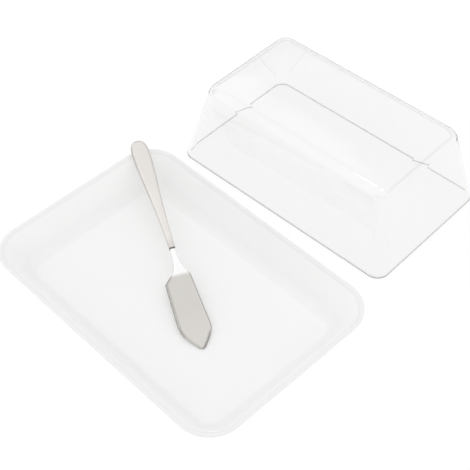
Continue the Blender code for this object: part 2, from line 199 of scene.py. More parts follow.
def tray_section():
    """The wall's section as (spread, height) points, from the floor over the lip and back below."""
    floor_centre = (floor_spread, TRAY_WALL + TRAY_FLOOR_BLEND)
    crest = (crest_spread, TRAY_HEIGHT - TRAY_LIP_BLEND)
    edge = (lip_spread - TRAY_EDGE_ROUND, TRAY_HEIGHT - TRAY_EDGE_ROUND)
    low_edge = (edge[0], TRAY_HEIGHT - TRAY_WALL + TRAY_EDGE_ROUND)
    under = TRAY_LIP_BLEND - TRAY_WALL - TRAY_UNDER_BLEND
    under_centre = (crest[0] - under * half_slope, crest[1] + under)
    return np.vstack((
        arc(floor_centre, TRAY_FLOOR_BLEND, -90, tray_slope - 90, TRAY_FLOOR_STEPS),
        arc(crest, TRAY_LIP_BLEND, 90 + tray_slope, 90, TRAY_CREST_STEPS),
        arc(edge, TRAY_EDGE_ROUND, 90, 0, TRAY_EDGE_STEPS),
        arc(low_edge, TRAY_EDGE_ROUND, 0, -90, TRAY_EDGE_STEPS),
        arc(under_centre, TRAY_UNDER_BLEND, 90, 90 + tray_slope, TRAY_UNDER_STEPS),
        arc(floor_centre, TRAY_FLOOR_BLEND + TRAY_WALL, tray_slope - 90, -90, TRAY_FLOOR_STEPS),
    ))


def tray_corner(spread):
    """The corner radius opens up in step with the spread."""
    share = (spread - floor_spread) / (lip_spread - floor_spread)
    return TRAY_FLOOR_CORNER + (TRAY_LIP_CORNER - TRAY_FLOOR_CORNER) * share


spread, height = tray_section().T
tray_halves = tray_floor_half[:, None] + spread
tray_rows = with_flats(*tray_halves, tray_corner(spread), height)
tray = piece("tray_shell", tray_rows, "tray", "frosted_plastic", "tray")

# %% [markdown]
# The cover is a clear box without a floor. Its walls lean in by about 12 degrees, more than a mould
# asks for, with a short upright foot at the rim, and a round blend turns them into the flat top. Its
# length and width come from the tray: the rim stands a little way up the floor's blend, with some play.
# Clear plastic shows both faces of its wall at once, so the inner face has to be there, at the true
# distance, or the bright and dark lines along the edges would be missing.

# %% Cover sizes
COVER_SEAT_RISE = 0.0026
COVER_END_PLAY = 0.0003
COVER_SIDE_PLAY = 0.0033
COVER_HEIGHT = 0.0587
COVER_WALL = 0.0015
COVER_DRAFT = 0.0125
COVER_FOOT = 0.0012
COVER_TOP_BLEND = 0.0078
COVER_CORNER = 0.0085
COVER_EDGE_ROUND = 0.0003
COVER_BLEND_CORNER_SHARE = 0.90
COVER_GAP = 0.0202
COVER_SHIFT = -0.0110
COVER_TURN = math.radians(2.65)
COVER_BEND_STEPS, COVER_EDGE_STEPS = 18, 4

seat_turn = math.acos(1 - COVER_SEAT_RISE / TRAY_FLOOR_BLEND)
seat_spread = floor_spread + TRAY_FLOOR_BLEND * math.sin(seat_turn)
cover_half = tray_floor_half + seat_spread - np.array((COVER_END_PLAY, COVER_SIDE_PLAY))
cover_lean = math.degrees(math.atan2(COVER_DRAFT, COVER_HEIGHT))

# %% Cover


def cover_section():
    """The wall as (inset, height) points, from the top over the rim and back up inside."""
    setback = COVER_TOP_BLEND * math.tan(math.radians(90 - cover_lean) / 2)
    centre = (COVER_DRAFT + setback, COVER_HEIGHT - COVER_TOP_BLEND)
    outer_edge = (COVER_EDGE_ROUND, COVER_EDGE_ROUND)
    inner_edge = (COVER_WALL - COVER_EDGE_ROUND, COVER_EDGE_ROUND)
    inner_foot = COVER_FOOT - COVER_WALL * math.tan(math.radians(cover_lean / 2))
    return np.vstack((
        arc(centre, COVER_TOP_BLEND, 90, 180 - cover_lean, COVER_BEND_STEPS),
        [(0.0, COVER_FOOT)],
        arc(outer_edge, COVER_EDGE_ROUND, 180, 270, COVER_EDGE_STEPS),
        arc(inner_edge, COVER_EDGE_ROUND, 270, 360, COVER_EDGE_STEPS),
        [(COVER_WALL, inner_foot)],
        arc(centre, COVER_TOP_BLEND - COVER_WALL, 180 - cover_lean, 90, COVER_BEND_STEPS),
    ))


def cover_corner(inset, height):
    """One radius up the sloping wall, and then less by nearly as much as the ring draws in past it."""
    drawn_in = np.maximum(inset - COVER_DRAFT * height / COVER_HEIGHT, 0)
    return COVER_CORNER - drawn_in * COVER_BLEND_CORNER_SHARE


inset, height = cover_section().T
cover_halves = cover_half[:, None] - inset
cover_rows = with_flats(*cover_halves, cover_corner(inset, height), height)
cover_reach = cover_half[1] * math.cos(COVER_TURN) + cover_half[0] * math.sin(COVER_TURN)
cover_place = np.array((COVER_SHIFT, TRAY_WIDTH / 2 + COVER_GAP + cover_reach, 0.0))
cover_turn = np.array(Euler((0.0, 0.0, COVER_TURN)).to_matrix())
placed_rows = cover_rows @ cover_turn.T + cover_place
cover = piece("clear_cover", placed_rows, "cover", "clear_plastic", "cover")

# %% [markdown]
# The blends along the left and the far side look duller than the others, so the finish has to know where
# they are. A number goes with each point of the skin: 1 in the middle of those two blends, and 0 on the
# walls, on the flat top and on the other two sides. Blender calls such a number an attribute.

# %% Where the duller blends are


def keep(made, name, rows):
    """Stores one number or three for each point of a skin's grid, and their means for the two poles."""
    values = rows.reshape(*rows.shape[:2], -1)
    own = np.concatenate((values.reshape(-1, values.shape[2]), values[(0, -1), :].mean(axis=1)))
    kind, field = ("FLOAT_VECTOR", "vector") if own.shape[1] == 3 else ("FLOAT", "value")
    made.data.attributes.new(name, kind, "POINT").data.foreach_set(field, own.astype(np.float32).ravel())


swell = np.sin(np.linspace(0, math.pi, COVER_BEND_STEPS + 1))
flat_rows = np.zeros(len(FLAT_SHARES) - 1)
bend = np.concatenate((flat_rows, swell, np.zeros(len(inset) - 2 * len(swell)), swell, flat_rows))
past_left_and_far = (cover_rows[:, :, :2] * (-1, 1) - cover_half + COVER_DRAFT).max(axis=2)
bend = bend[:, None] * np.clip(1 + past_left_and_far / COVER_TOP_BLEND, 0, 1)
keep(cover, "bend", bend)
print("points in the duller blends:", int((bend > 0).sum()))

# %% [markdown]
# The knife is two pieces of steel joined end to end: a broad flat blade that runs out into a slim neck,
# and a flat satin handle with a collar. Both are sections carried along one straight axis, so they share
# a helper that reads a smooth curve through a short table of shares. The handle's sections are
# superellipses, which are fuller than an oval and rounder than a box.

# %% Knife sizes and helpers
BLADE_LENGTH = 0.0545
BLADE_WIDTH = 0.0195
BLADE_THICK = 0.0012
BLADE_GRIND = 0.0011
BLADE_ROUND = 0.0026
BLADE_EDGE = 0.0005
HANDLE_LENGTH = 0.087
HANDLE_WIDTH = 0.0118
HANDLE_THICK = 0.0044
COLLAR_WIDTH = 0.0038
COLLAR_THICK = 0.0034
COLLAR_LENGTH = 0.0024
GROOVE_WIDTH = 0.0006
GROOVE_DEPTH = 0.00018
NECK_LENGTH = 0.0172
NECK_ROOT_WIDTH = 0.0092
NECK_INSET = 0.00025
TANG_RADIUS = 0.0009
TANG_LENGTH = 0.012
SEAT_GAP = 0.0003
SECTION_POINTS = 48
ROUND_POWER = 2.0

neck_end = BLADE_LENGTH + NECK_LENGTH
joint_at = neck_end + SEAT_GAP
knife_length = joint_at + HANDLE_LENGTH


def smooth_between(places, table, column):
    """A smooth curve through one column of a table, by its first column: on each stretch a cubic whose
    end slopes are the means of the slopes on both sides."""
    xs, ys = np.array(table)[:, (0, column)].T
    slopes = np.gradient(ys, xs)
    at = np.clip(np.searchsorted(xs, places) - 1, 0, len(xs) - 2)
    width = xs[at + 1] - xs[at]
    t = np.clip((places - xs[at]) / width, 0, 1)
    start = ys[at] * (2 * t**3 - 3 * t**2 + 1) + slopes[at] * width * (t**3 - 2 * t**2 + t)
    return start + ys[at + 1] * (3 * t**2 - 2 * t**3) + slopes[at + 1] * width * (t**3 - t**2)


def signed_power(values, power):
    """Raises the size of each value to a power and keeps its sign."""
    return np.sign(values) * np.abs(values) ** power


def oval_sections(x, half_y, half_z, power):
    """Superellipse rings across the axis: y = half_y cos(t)^(2/power), z = half_z sin(t)^(2/power)."""
    turn = np.linspace(0, 2 * math.pi, SECTION_POINTS, endpoint=False)
    y = half_y[:, None] * signed_power(np.cos(turn), 2 / power)
    z = half_z[:, None] * signed_power(np.sin(turn), 2 / power)
    return np.dstack((np.repeat(x[:, None], SECTION_POINTS, axis=1), y, z))


# %% [markdown]
# The handle starts at the joint with a short collar, has a fine groove, widens slowly to its widest place
# and ends in half a superellipse. Inside the collar is the socket for the blade's tang, so the skin
# starts at the bottom of that socket, comes out of it and then runs over the handle to the round end.

# %% Handle
HANDLE_SECTION_POWER = 5.0
HANDLE_END_POWER = 2.6
HANDLE_END_SHARE = 0.130
HANDLE_END_THIN_POWER = 0.3
HANDLE_STEPS = 60
HANDLE_END_STEPS = 22
# The end's last ring stops short of the axis, and the skin closes from there
HANDLE_END_TURN = math.radians(88.5)
# Along the body from the groove, and the ways in width and in thickness towards the widest place
HANDLE_BODY_SHARES = (
    (0.00, 0.00, 0.00),
    (0.20, 0.14, 0.20),
    (0.40, 0.33, 0.42),
    (0.60, 0.58, 0.65),
    (0.80, 0.86, 0.86),
    (0.93, 0.98, 0.98),
    (1.00, 1.00, 1.00),
)


def handle_stations():
    """(x, half width, half thickness) from the joint to the round end."""
    collar = np.array((COLLAR_WIDTH, COLLAR_THICK)) / 2
    groove_at = joint_at + COLLAR_LENGTH
    body_at = groove_at + GROOVE_WIDTH
    end_length = HANDLE_LENGTH * HANDLE_END_SHARE
    widest_at = knife_length - end_length
    edges = np.array((joint_at, joint_at + GROOVE_DEPTH, groove_at - GROOVE_DEPTH, groove_at,
                      body_at - GROOVE_DEPTH))
    sunk = np.array((1, 0, 0, 1, 1)) * GROOVE_DEPTH
    share = np.linspace(0, 1, HANDLE_STEPS)
    wide = smooth_between(share, HANDLE_BODY_SHARES, 1)
    deep = smooth_between(share, HANDLE_BODY_SHARES, 2)
    turn = np.linspace(0, HANDLE_END_TURN, HANDLE_END_STEPS + 1)[1:]
    left = np.cos(turn) ** (2 / HANDLE_END_POWER)
    x = np.concatenate((edges, body_at + (widest_at - body_at) * share,
                        widest_at + end_length * np.sin(turn) ** (2 / HANDLE_END_POWER)))
    y = np.concatenate((collar[0] - sunk, collar[0] + (HANDLE_WIDTH / 2 - collar[0]) * wide,
                        HANDLE_WIDTH / 2 * left))
    z = np.concatenate((collar[1] - sunk, collar[1] + (HANDLE_THICK / 2 - collar[1]) * deep,
                        HANDLE_THICK / 2 * left ** HANDLE_END_THIN_POWER))
    return x, y, z


def bar_sections(x, radius):
    """Round rings of one radius at each place along the axis."""
    return oval_sections(np.array(x), np.full(len(x), radius), np.full(len(x), radius), ROUND_POWER)


handle_x, handle_y, handle_z = handle_stations()
socket_end = neck_end + TANG_LENGTH + SEAT_GAP
handle_rows = np.concatenate((
    bar_sections((socket_end, joint_at), TANG_RADIUS + SEAT_GAP),
    oval_sections(handle_x, handle_y, handle_z, HANDLE_SECTION_POWER),
))

# %% [markdown]
# The knife's place follows from what it touches. The flat of the blade's tip lies on the tray's floor
# and the handle's underside rests on the inner crest of the lip, in the far left corner. Those two
# contacts fix its tilt. Its heading, the place on the crest's corner where it rests, and how far the
# handle stands out past the crest were read from the picture.

# %% Where the knife lies
KNIFE_HEADING = math.radians(153.2)
KNIFE_REST_ANGLE = math.radians(157.0)
KNIFE_OVERHANG = 0.0062
BLADE_TIP_SHARE = 0.006

crest_x, crest_y = tray_floor_half + crest_spread
crest_corner = tray_corner(crest_spread)
crossing = Vector((
    crest_corner - crest_x + crest_corner * math.cos(KNIFE_REST_ANGLE),
    crest_y - crest_corner + crest_corner * math.sin(KNIFE_REST_ANGLE),
))
# The line between both contacts climbs by the lip's height over the floor, and slopes a little against
# the knife's axis, because the handle's underside lies deeper than the blade's
flat_end = BLADE_LENGTH * BLADE_TIP_SHARE + BLADE_GRIND
reach = knife_length - KNIFE_OVERHANG
underside = float(np.interp(reach, handle_x, handle_z))
deeper = underside - BLADE_THICK / 2
span = math.hypot(reach - flat_end, deeper)
knife_tilt = math.asin((TRAY_HEIGHT - TRAY_WALL) / span) + math.atan2(deeper, reach - flat_end)
run = reach * math.cos(knife_tilt) + underside * math.sin(knife_tilt)
drop = BLADE_THICK / 2 * math.cos(knife_tilt) - flat_end * math.sin(knife_tilt)
knife_place = np.array((
    crossing.x - run * math.cos(KNIFE_HEADING),
    crossing.y - run * math.sin(KNIFE_HEADING),
    TRAY_WALL + SEAT_GAP + drop,
))
knife_turn = np.array(Euler((0.0, -knife_tilt, KNIFE_HEADING)).to_matrix())
print("knife tilts by", round(math.degrees(knife_tilt), 2), "degrees")


def laid_down(rows):
    """Takes points from the knife's own axes to where it lies."""
    return rows @ knife_turn.T + knife_place


handle = piece("satin_handle", laid_down(handle_rows), "knife", "satin_steel", "knife_handle")
keep(handle, "knife_place", handle_rows)

# %% [markdown]
# Seen from above, the blade is a leaf with one long side much fuller than the other, a slanting
# shoulder on each side, and a neck that flares into it. I draw both sides of that outline as smooth
# curves from the tip, then lay sections across the axis between them. Across a section the blade is
# flat in the middle and falls away to a thin edge in a quarter of an oval. Past the shoulder the plate
# fades into the neck, which is thicker, flat on top and rounded at its sides, and inside the handle a
# round tang follows. One skin holds all of it, so light runs from the blade into the neck without a seam.

# %% Blade outline
# Share of the blade's length from the tip, share of its width from the axis
TIP_SHARES = (BLADE_TIP_SHARE, 0.075)
FAR_CURVE_SHARES = (
    (0.022, -0.025), (0.048, -0.081), (0.090, -0.168), (0.182, -0.325), (0.238, -0.386), (0.320, -0.395),
)
FAR_CORNER_SHARES = ((0.955, -0.296), (1.010, -0.212))
NEAR_CURVE_SHARES = (
    (0.022, 0.173), (0.048, 0.232), (0.130, 0.406), (0.225, 0.548), (0.297, 0.594), (0.410, 0.604),
)
NEAR_CORNER_SHARES = ((0.875, 0.574), (1.010, 0.234))
OUTLINE_STEPS = 240


def outline_side(curve_shares, corner_shares):
    """One side of the outline as (x, y) points: a smooth curve over its length through the first
    points, then straight lines through the corners."""
    size = np.array((BLADE_LENGTH, BLADE_WIDTH))
    knots = np.array((TIP_SHARES, *curve_shares)) * size
    length = np.concatenate(([0], np.cumsum(np.linalg.norm(np.diff(knots, axis=0), axis=1))))
    table = np.column_stack((length, knots))
    places = np.linspace(0, length[-1], OUTLINE_STEPS)
    curve = np.column_stack([smooth_between(places, table, column) for column in (1, 2)])
    return np.vstack((curve, np.array(corner_shares) * size))


far_side = outline_side(FAR_CURVE_SHARES, FAR_CORNER_SHARES)
near_side = outline_side(NEAR_CURVE_SHARES, NEAR_CORNER_SHARES)

# %% Places along the blade and the neck
# Along the neck, and the ways in width towards the root and in thickness towards the blade
NECK_SHARES = (
    (-0.30, 1.00, 1.20),
    (0.00, 1.00, 0.90),
    (0.12, 0.70, 0.72),
    (0.30, 0.33, 0.48),
    (0.58, 0.11, 0.24),
    (1.00, 0.00, 0.00),
)
TIP_STEPS, BLADE_STEPS, SHOULDER_STEPS, NECK_STEPS = 26, 50, 30, 46
SHOULDER_START_SHARE = 0.86


def blade_stations():
    """Places along the axis, close together where the outline turns fast: over the tip, which ends at the
    far curve's fourth point, and from the shoulder to the neck's root, the third row of its shares."""
    tip = near_side[0, 0]
    shoulder = BLADE_LENGTH * SHOULDER_START_SHARE
    tip_end = BLADE_LENGTH * FAR_CURVE_SHARES[3][0]
    root_end = BLADE_LENGTH + NECK_LENGTH * NECK_SHARES[2][0]
    opening = 1 - np.cos(np.linspace(0, math.pi / 2, TIP_STEPS + 1)[1:])
    return np.concatenate((
        tip + (tip_end - tip) * opening,
        np.linspace(tip_end, shoulder, BLADE_STEPS + 1)[1:],
        np.linspace(shoulder, root_end, SHOULDER_STEPS + 1)[1:],
        np.linspace(root_end, neck_end, NECK_STEPS + 1)[1:],
    ))


stations = blade_stations()
print("blade and neck have", len(stations), "sections")

# %% Sections across the blade and the neck
NECK_SECTION_POWER = 6.0
# Where the neck begins inside the blade, and where the plate ends in the neck
NECK_START = BLADE_LENGTH + NECK_LENGTH * NECK_SHARES[0][0]
PLATE_END = BLADE_LENGTH * NEAR_CORNER_SHARES[-1][0]
# How thin the plate is past its end, and how softly it passes into the neck
PLATE_LEAST_SHARE = 0.02
PLATE_TO_NECK_SOFT = 0.00004
# Across a section, columns over the round of each edge and over the flat between them
ROUND_COLUMNS, FLAT_COLUMNS = 12, 12
ROUND_TURN = np.linspace(0, math.pi / 2, ROUND_COLUMNS)
ROUND_MOST_SHARE = 0.8


def neck_halves(x):
    """The neck's half width and half thickness at each place along the axis."""
    share = np.clip((x - BLADE_LENGTH) / NECK_LENGTH, NECK_SHARES[0][0], 1)
    joint_y = COLLAR_WIDTH / 2 - NECK_INSET
    joint_z = COLLAR_THICK / 2 - NECK_INSET
    half_y = joint_y + (NECK_ROOT_WIDTH / 2 - joint_y) * smooth_between(share, NECK_SHARES, 1)
    half_z = joint_z + (BLADE_THICK / 2 - joint_z) * smooth_between(share, NECK_SHARES, 2)
    return half_y, half_z


def section_across(low, high):
    """Places across one section for each pair of edges: close together over the round of each edge, as
    (1 - cos t), and evenly over the flat between them. Gives the reach of the rounds as well."""
    reach = np.minimum(BLADE_ROUND, (high - low) / 2 * ROUND_MOST_SHARE)[:, None]
    inward = reach * (1 - np.cos(ROUND_TURN))
    flat = np.linspace(0, 1, FLAT_COLUMNS + 2)[1:-1]
    inner_low, inner_high = low[:, None] + reach, high[:, None] - reach
    across_flat = inner_low + (inner_high - inner_low) * flat
    return np.hstack((low[:, None] + inward, across_flat, (high[:, None] - inward)[:, ::-1])), reach


def blade_sections(x):
    """Rings across the axis, and each point's distances from the near and from the far edge. Over the
    top, height is the softly larger one of two: the plate's, which rises from the edge to the flat as
    sqrt(1 - left^2) of the way that is left, and the neck's superellipse."""
    root_y, root_z = (half[:, None] for half in neck_halves(x))
    on_neck, on_plate = x > NECK_START, x <= PLATE_END
    plate_low = np.where(on_plate, np.interp(x, *far_side.T), 0)
    plate_high = np.where(on_plate, np.interp(x, *near_side.T), 0)
    low = np.where(on_neck, np.minimum(plate_low, -root_y[:, 0]), plate_low)
    high = np.where(on_neck, np.maximum(plate_high, root_y[:, 0]), plate_high)
    y, reach = section_across(low, high)
    near, far = high[:, None] - y, y - low[:, None]
    left = 1 - np.clip(np.minimum(near, far) / reach, 0, 1)
    plate = BLADE_EDGE / 2 + (BLADE_THICK - BLADE_EDGE) / 2 * np.sqrt(1 - left**2)
    plate = plate * np.clip((PLATE_END - x[:, None]) / BLADE_GRIND, PLATE_LEAST_SHARE, 1)
    within = np.clip(1 - np.abs(y / root_y) ** NECK_SECTION_POWER, 0, 1)
    neck = root_z * within ** (1 / NECK_SECTION_POWER)
    joined = (plate + neck + np.sqrt((plate - neck) ** 2 + PLATE_TO_NECK_SOFT**2)) / 2
    top = np.where(on_neck[:, None], joined, plate)
    x = np.repeat(x[:, None], y.shape[1], axis=1)
    edges = np.dstack((near, far, 0 * y))
    rows = np.concatenate((np.dstack((x, y, top)), np.dstack((x, y, -top))[:, ::-1]), axis=1)
    return rows, np.concatenate((edges, edges[:, ::-1]), axis=1)


blade_rows, blade_edges = blade_sections(stations)
print("each section has", blade_rows.shape[1], "points")

# %% Tang, and the whole blade


def tang_sections(around):
    """The round tang inside the handle, with as many points in a ring as the blade's own sections."""
    turn = math.pi * (1 - (np.arange(around) + 0.5) * 2 / around)
    x = np.repeat([[neck_end], [neck_end + TANG_LENGTH]], around, axis=1)
    y, z = (np.tile(TANG_RADIUS * side, (2, 1)) for side in (np.cos(turn), np.sin(turn)))
    return np.dstack((x, y, z))


tang_rows = tang_sections(blade_rows.shape[1])
blade_edges = np.concatenate((blade_edges, np.full(tang_rows.shape, COLLAR_WIDTH)))
blade_rows = np.concatenate((blade_rows, tang_rows))
blade = piece("polished_blade", laid_down(blade_rows), "knife", "polished_steel", "knife_blade")
keep(blade, "knife_place", blade_rows)
keep(blade, "from_edges", blade_edges)

# %% [markdown]
# A finish is a small network of nodes. To keep the arithmetic readable, a wrapped socket takes part in
# Python expressions and adds the Math node that each operator stands for. Everything else goes through
# one method that sets a node's settings first and then its inputs.

# %% Nodes as Python expressions


class Socket:
    """A node's output. Arithmetic on it adds Math nodes to its material."""

    def __init__(self, nodes, output):
        self.nodes, self.output = nodes, output

    def maths(self, operation, first, second):
        return self.nodes.add("Math", {"operation": operation}, {0: first, 1: second})

    def __add__(self, other):
        return self.maths("ADD", self, other)

    def __radd__(self, other):
        return self.maths("ADD", other, self)

    def __sub__(self, other):
        return self.maths("SUBTRACT", self, other)

    def __rsub__(self, other):
        return self.maths("SUBTRACT", other, self)

    def __mul__(self, other):
        return self.maths("MULTIPLY", self, other)

    def __rmul__(self, other):
        return self.maths("MULTIPLY", other, self)

    def __neg__(self):
        return self.maths("SUBTRACT", 0.0, self)

    def __abs__(self):
        return self.maths("ABSOLUTE", self, 0.0)

    def __truediv__(self, other):
        return self.maths("DIVIDE", self, other)

    def __rtruediv__(self, other):
        return self.maths("DIVIDE", other, self)

    def largest(self, other):
        return self.maths("MAXIMUM", self, other)

    def smallest(self, other):
        return self.maths("MINIMUM", self, other)

    def beside(self, name):
        """Another output of the same node."""
        return Socket(self.nodes, self.output.node.outputs[name])


class Nodes:
    """The node tree of a material or of the world, filled through one method."""

    def __init__(self, tree):
        self.tree = tree
        tree.nodes.clear()

    def add(self, kind, settings=None, inputs=None, output=0):
        """Adds a node, sets its settings, then its inputs by name or number, and returns one output."""
        node = self.tree.nodes.new("ShaderNode" + kind)
        for name, value in (settings or {}).items():
            if name == "stops":
                self.set_stops(node.color_ramp.elements, value)
            else:
                setattr(node, name, value)
        for name, value in (inputs or {}).items():
            if isinstance(value, Socket):
                self.tree.links.new(value.output, node.inputs[name])
            else:
                node.inputs[name].default_value = value
        return Socket(self, node.outputs[output]) if node.outputs else node

    def set_stops(self, elements, stops):
        """Gives a colour ramp its stops, each a place and a grey level."""
        while len(elements) < len(stops):
            elements.new(0.5)
        for element, (place, grey) in zip(elements, stops):
            element.position = place
            element.color = (grey, grey, grey, 1)

    def ramp(self, factor, *stops):
        """Straight changes of grey along a value, from each stop to the next."""
        return self.add("ValToRGB", {"stops": stops}, {"Fac": factor})

    def rise(self, value, start, end):
        """0 up to the start, 1 from the end on, and a soft step between them."""
        steps = {"Value": value, "From Min": start, "From Max": end}
        return self.add("MapRange", {"interpolation_type": "SMOOTHSTEP"}, steps)

    def noise(self, place, scale, detail):
        """Cloudy noise from 0 to 1, with about `scale` blobs in each unit of the place."""
        return self.add("TexNoise", None, {"Vector": place, "Scale": scale, "Detail": detail})

    def bump(self, strength, depth, height):
        """A normal that leans as if the surface had hills of this depth."""
        return self.add("Bump", None, {"Strength": strength, "Distance": depth, "Height": height})

    def mix(self, blend, factor, first, second):
        """Two colours in a Mix node, which numbers its sockets by kind: 0 is the factor, 6 and 7 are the
        colours, and output 2 is the mixed colour."""
        kind = {"data_type": "RGBA", "blend_type": blend}
        return self.add("Mix", kind, {0: factor, 6: first, 7: second}, output=2)

    def colour_between(self, factor, *colours):
        """The colour at a share of the way from the first to the second."""
        first, second = (c if isinstance(c, Socket) else (*c, 1.0) for c in colours)
        return self.mix("MIX", factor, first, second)


def finish(name, made):
    """A new material on a piece, and its empty node tree."""
    material = bpy.data.materials.new(name)
    material.use_nodes = True
    made.data.materials.clear()
    made.data.materials.append(material)
    return Nodes(material.node_tree)


# %% [markdown]
# Natural polypropylene is milky, and its moulded skin is matt. The sheet is thin, so I treat each of its
# two faces as a whole sheet or as nothing. Where a ray comes in, a share of the light is scattered back,
# as from paint. The rest goes through: a part as through ground glass, which shows the edges behind
# it softly, and a part spread out evenly, which keeps the sheet bright when it is lit from behind. Where
# the ray leaves the plastic, it goes straight on, so that it isn't spread twice. Slow clouds in the
# colour stand for the uneven flow of the moulding, and a very fine grain in the bump for the etched
# mould. Light and shade are also painted into the colour by height: the foot of the wall and the
# lip are painted greyer than the floor, as painted shade, and the top of the wall a touch paler.

# %% Frosted plastic
MATT_SHARE = 0.45
LIT_THROUGH_SHARE = 0.55
LIT_THROUGH_COLOUR = (0.945, 0.945, 0.9415, 1.0)
MILK_DARKER, MILK_PALER = (0.935, 0.935, 0.931), (0.955, 0.955, 0.952)
# Each noise is given as its blobs in a metre and its levels of detail
FLOW_CLOUDS = (38.0, 3.0)
MOULD_GRAIN = (2600.0, 2.0)
MOULD_STRENGTH, MOULD_DEPTH = 0.10, 0.0002
TRAY_ROUGHNESS, TRAY_ROUGHER = 0.46, 0.08
POLYPROPYLENE_IOR = 1.49
# Painted shade by the share of the tray's height, as a factor on the colour: floor, foot of the wall,
# wall, lip
PAINTED_SHADE_STOPS = (
    (0.072, 1.0), (0.088, 0.931), (0.150, 0.923), (0.350, 0.963), (0.900, 1.012), (0.975, 0.890),
)

nodes = finish("frosted_polypropylene", tray)
place = nodes.add("TexCoord", output="Object")
clouds = nodes.noise(place, *FLOW_CLOUDS)
above_table = nodes.add("SeparateXYZ", None, {0: place}, output="Z")
milk = nodes.colour_between(clouds, MILK_DARKER, MILK_PALER)
# The painted shade by height multiplies the milk: greyer at the foot of the wall and at the lip
milk = nodes.mix("MULTIPLY", 1.0, milk, nodes.ramp(above_table / TRAY_HEIGHT, *PAINTED_SHADE_STOPS))
normal = nodes.bump(MOULD_STRENGTH, MOULD_DEPTH, nodes.noise(place, *MOULD_GRAIN))
sheet = {
    "Base Color": milk, "Roughness": TRAY_ROUGHNESS + clouds * TRAY_ROUGHER, "Normal": normal,
    "IOR": POLYPROPYLENE_IOR,
}
milky = nodes.add("BsdfPrincipled", None, sheet)
clear = nodes.add("BsdfPrincipled", None, {**sheet, "Transmission Weight": 1.0})
lit_through = nodes.add("BsdfTranslucent", None, {"Color": LIT_THROUGH_COLOUR, "Normal": normal})
passing = nodes.add("MixShader", None, {0: LIT_THROUGH_SHARE, 1: clear, 2: lit_through})
entering = nodes.add("MixShader", None, {0: MATT_SHARE, 1: passing, 2: milky})
leaving = nodes.add("BsdfTransparent")
inside = nodes.add("NewGeometry", output="Backfacing")
shader = nodes.add("MixShader", None, {0: inside, 1: entering, 2: leaving})
nodes.add("OutputMaterial", None, {"Surface": shader})
print("tray nodes:", len(nodes.tree.nodes))

# %% [markdown]
# The cover is clear moulded polystyrene, which bends light more than window glass does. Its walls are
# not perfectly flat: a slow, shallow waviness moves the reflections a little, as it does on the real
# one, and a thin haze of fine scratches dulls the gloss in patches. The blends of the left and the far
# side are duller, so that the lines they draw are soft. The lowest millimetre of the rim is painted
# greyer than the wall, as painted shade for the dark line along the foot where it stands on the table.

# %% Clear plastic
CLEAR_GREYER, CLEAR_PALER = (0.970, 0.970, 0.970), (0.985, 0.985, 0.985)
SCRATCH_HAZE = (90.0, 4.0)
WALL_WAVES = (32.0, 1.0)
WAVE_STRENGTH, WAVE_DEPTH = 0.10, 0.0010
HAZE_ROUGHNESS, BEND_ROUGHNESS = 0.05, 0.16
BEND_COLOUR = (0.98, 0.98, 0.98)
# Painted shade along the foot of the rim: full up to the first height, gone at the second, and its colour
RIM_SHADE_FROM, RIM_SHADE_TO, RIM_SHADE_COLOUR = 0.0006, 0.0016, (0.70, 0.70, 0.70)
POLYSTYRENE_IOR = 1.57

nodes = finish("clear_polystyrene", cover)
place = nodes.add("TexCoord", output="Object")
haze = nodes.noise(place, *SCRATCH_HAZE)
bend = nodes.add("Attribute", {"attribute_name": "bend"}, output="Fac")
above_table = nodes.add("SeparateXYZ", None, {0: place}, output="Z")
colour = nodes.colour_between(haze, CLEAR_GREYER, CLEAR_PALER)
# The rim's painted shade
colour = nodes.colour_between(nodes.rise(above_table, RIM_SHADE_FROM, RIM_SHADE_TO), RIM_SHADE_COLOUR, colour)
colour = nodes.colour_between(bend, colour, BEND_COLOUR)
roughness = haze * HAZE_ROUGHNESS + bend * BEND_ROUGHNESS
normal = nodes.bump(WAVE_STRENGTH, WAVE_DEPTH, nodes.noise(place, *WALL_WAVES))
shader = nodes.add("BsdfPrincipled", None, {
    "Base Color": colour, "Roughness": roughness, "Normal": normal, "IOR": POLYSTYRENE_IOR,
    "Transmission Weight": 1.0,
})
nodes.add("OutputMaterial", None, {"Surface": shader})
print("cover nodes:", len(nodes.tree.nodes))

# %% [markdown]
# Both steels are warm grey with a grain that lies along the knife. A brushed grain is noise drawn out
# lengthwise, so the noise reads the place that was kept with each point, along and across the knife, and
# stretches it along the axis. A second, broader noise makes soft patches. Where the neck meets the
# collar, both pieces share a fine dark line.

# %% Grained steel
GRAIN_DETAIL = 4.0
STEEL_PATCHES = (160.0, 3.0)
GRAIN_SHARE = 0.5
JOINT_DARK_TO, JOINT_DARKEST = 0.0008, 0.85
JOINT_COLOUR = (0.16, 0.14, 0.13)


def grained_steel(name, made, dark, light, streaks):
    """A material, the place along the knife, a grain drawn out lengthwise, its shade and the colour. The
    streaks' stretch sets the grain's size, so the noise itself is at scale 1."""
    nodes = finish(name, made)
    place = nodes.add("Attribute", {"attribute_name": "knife_place"}, output="Vector")
    drawn = nodes.add("Mapping", {"vector_type": "POINT"}, {"Vector": place, "Scale": streaks})
    grain = nodes.noise(drawn, 1.0, GRAIN_DETAIL)
    shade = grain * GRAIN_SHARE + nodes.noise(place, *STEEL_PATCHES) * (1 - GRAIN_SHARE)
    along = nodes.add("SeparateXYZ", None, {0: place}, output="X")
    joint = 1 - nodes.rise(abs(along - joint_at), JOINT_DARK_TO / 2, JOINT_DARK_TO)
    steel = nodes.colour_between(shade, dark, light)
    steel = nodes.colour_between(joint * JOINT_DARKEST, steel, JOINT_COLOUR)
    return nodes, along, grain, shade, steel


# %% [markdown]
# The handle is satin: rough enough for wide, soft reflections, with streaks that are long and very fine.
# It is painted darker on the collar and past the groove, as painted shade, and a little darker again
# towards its round end.

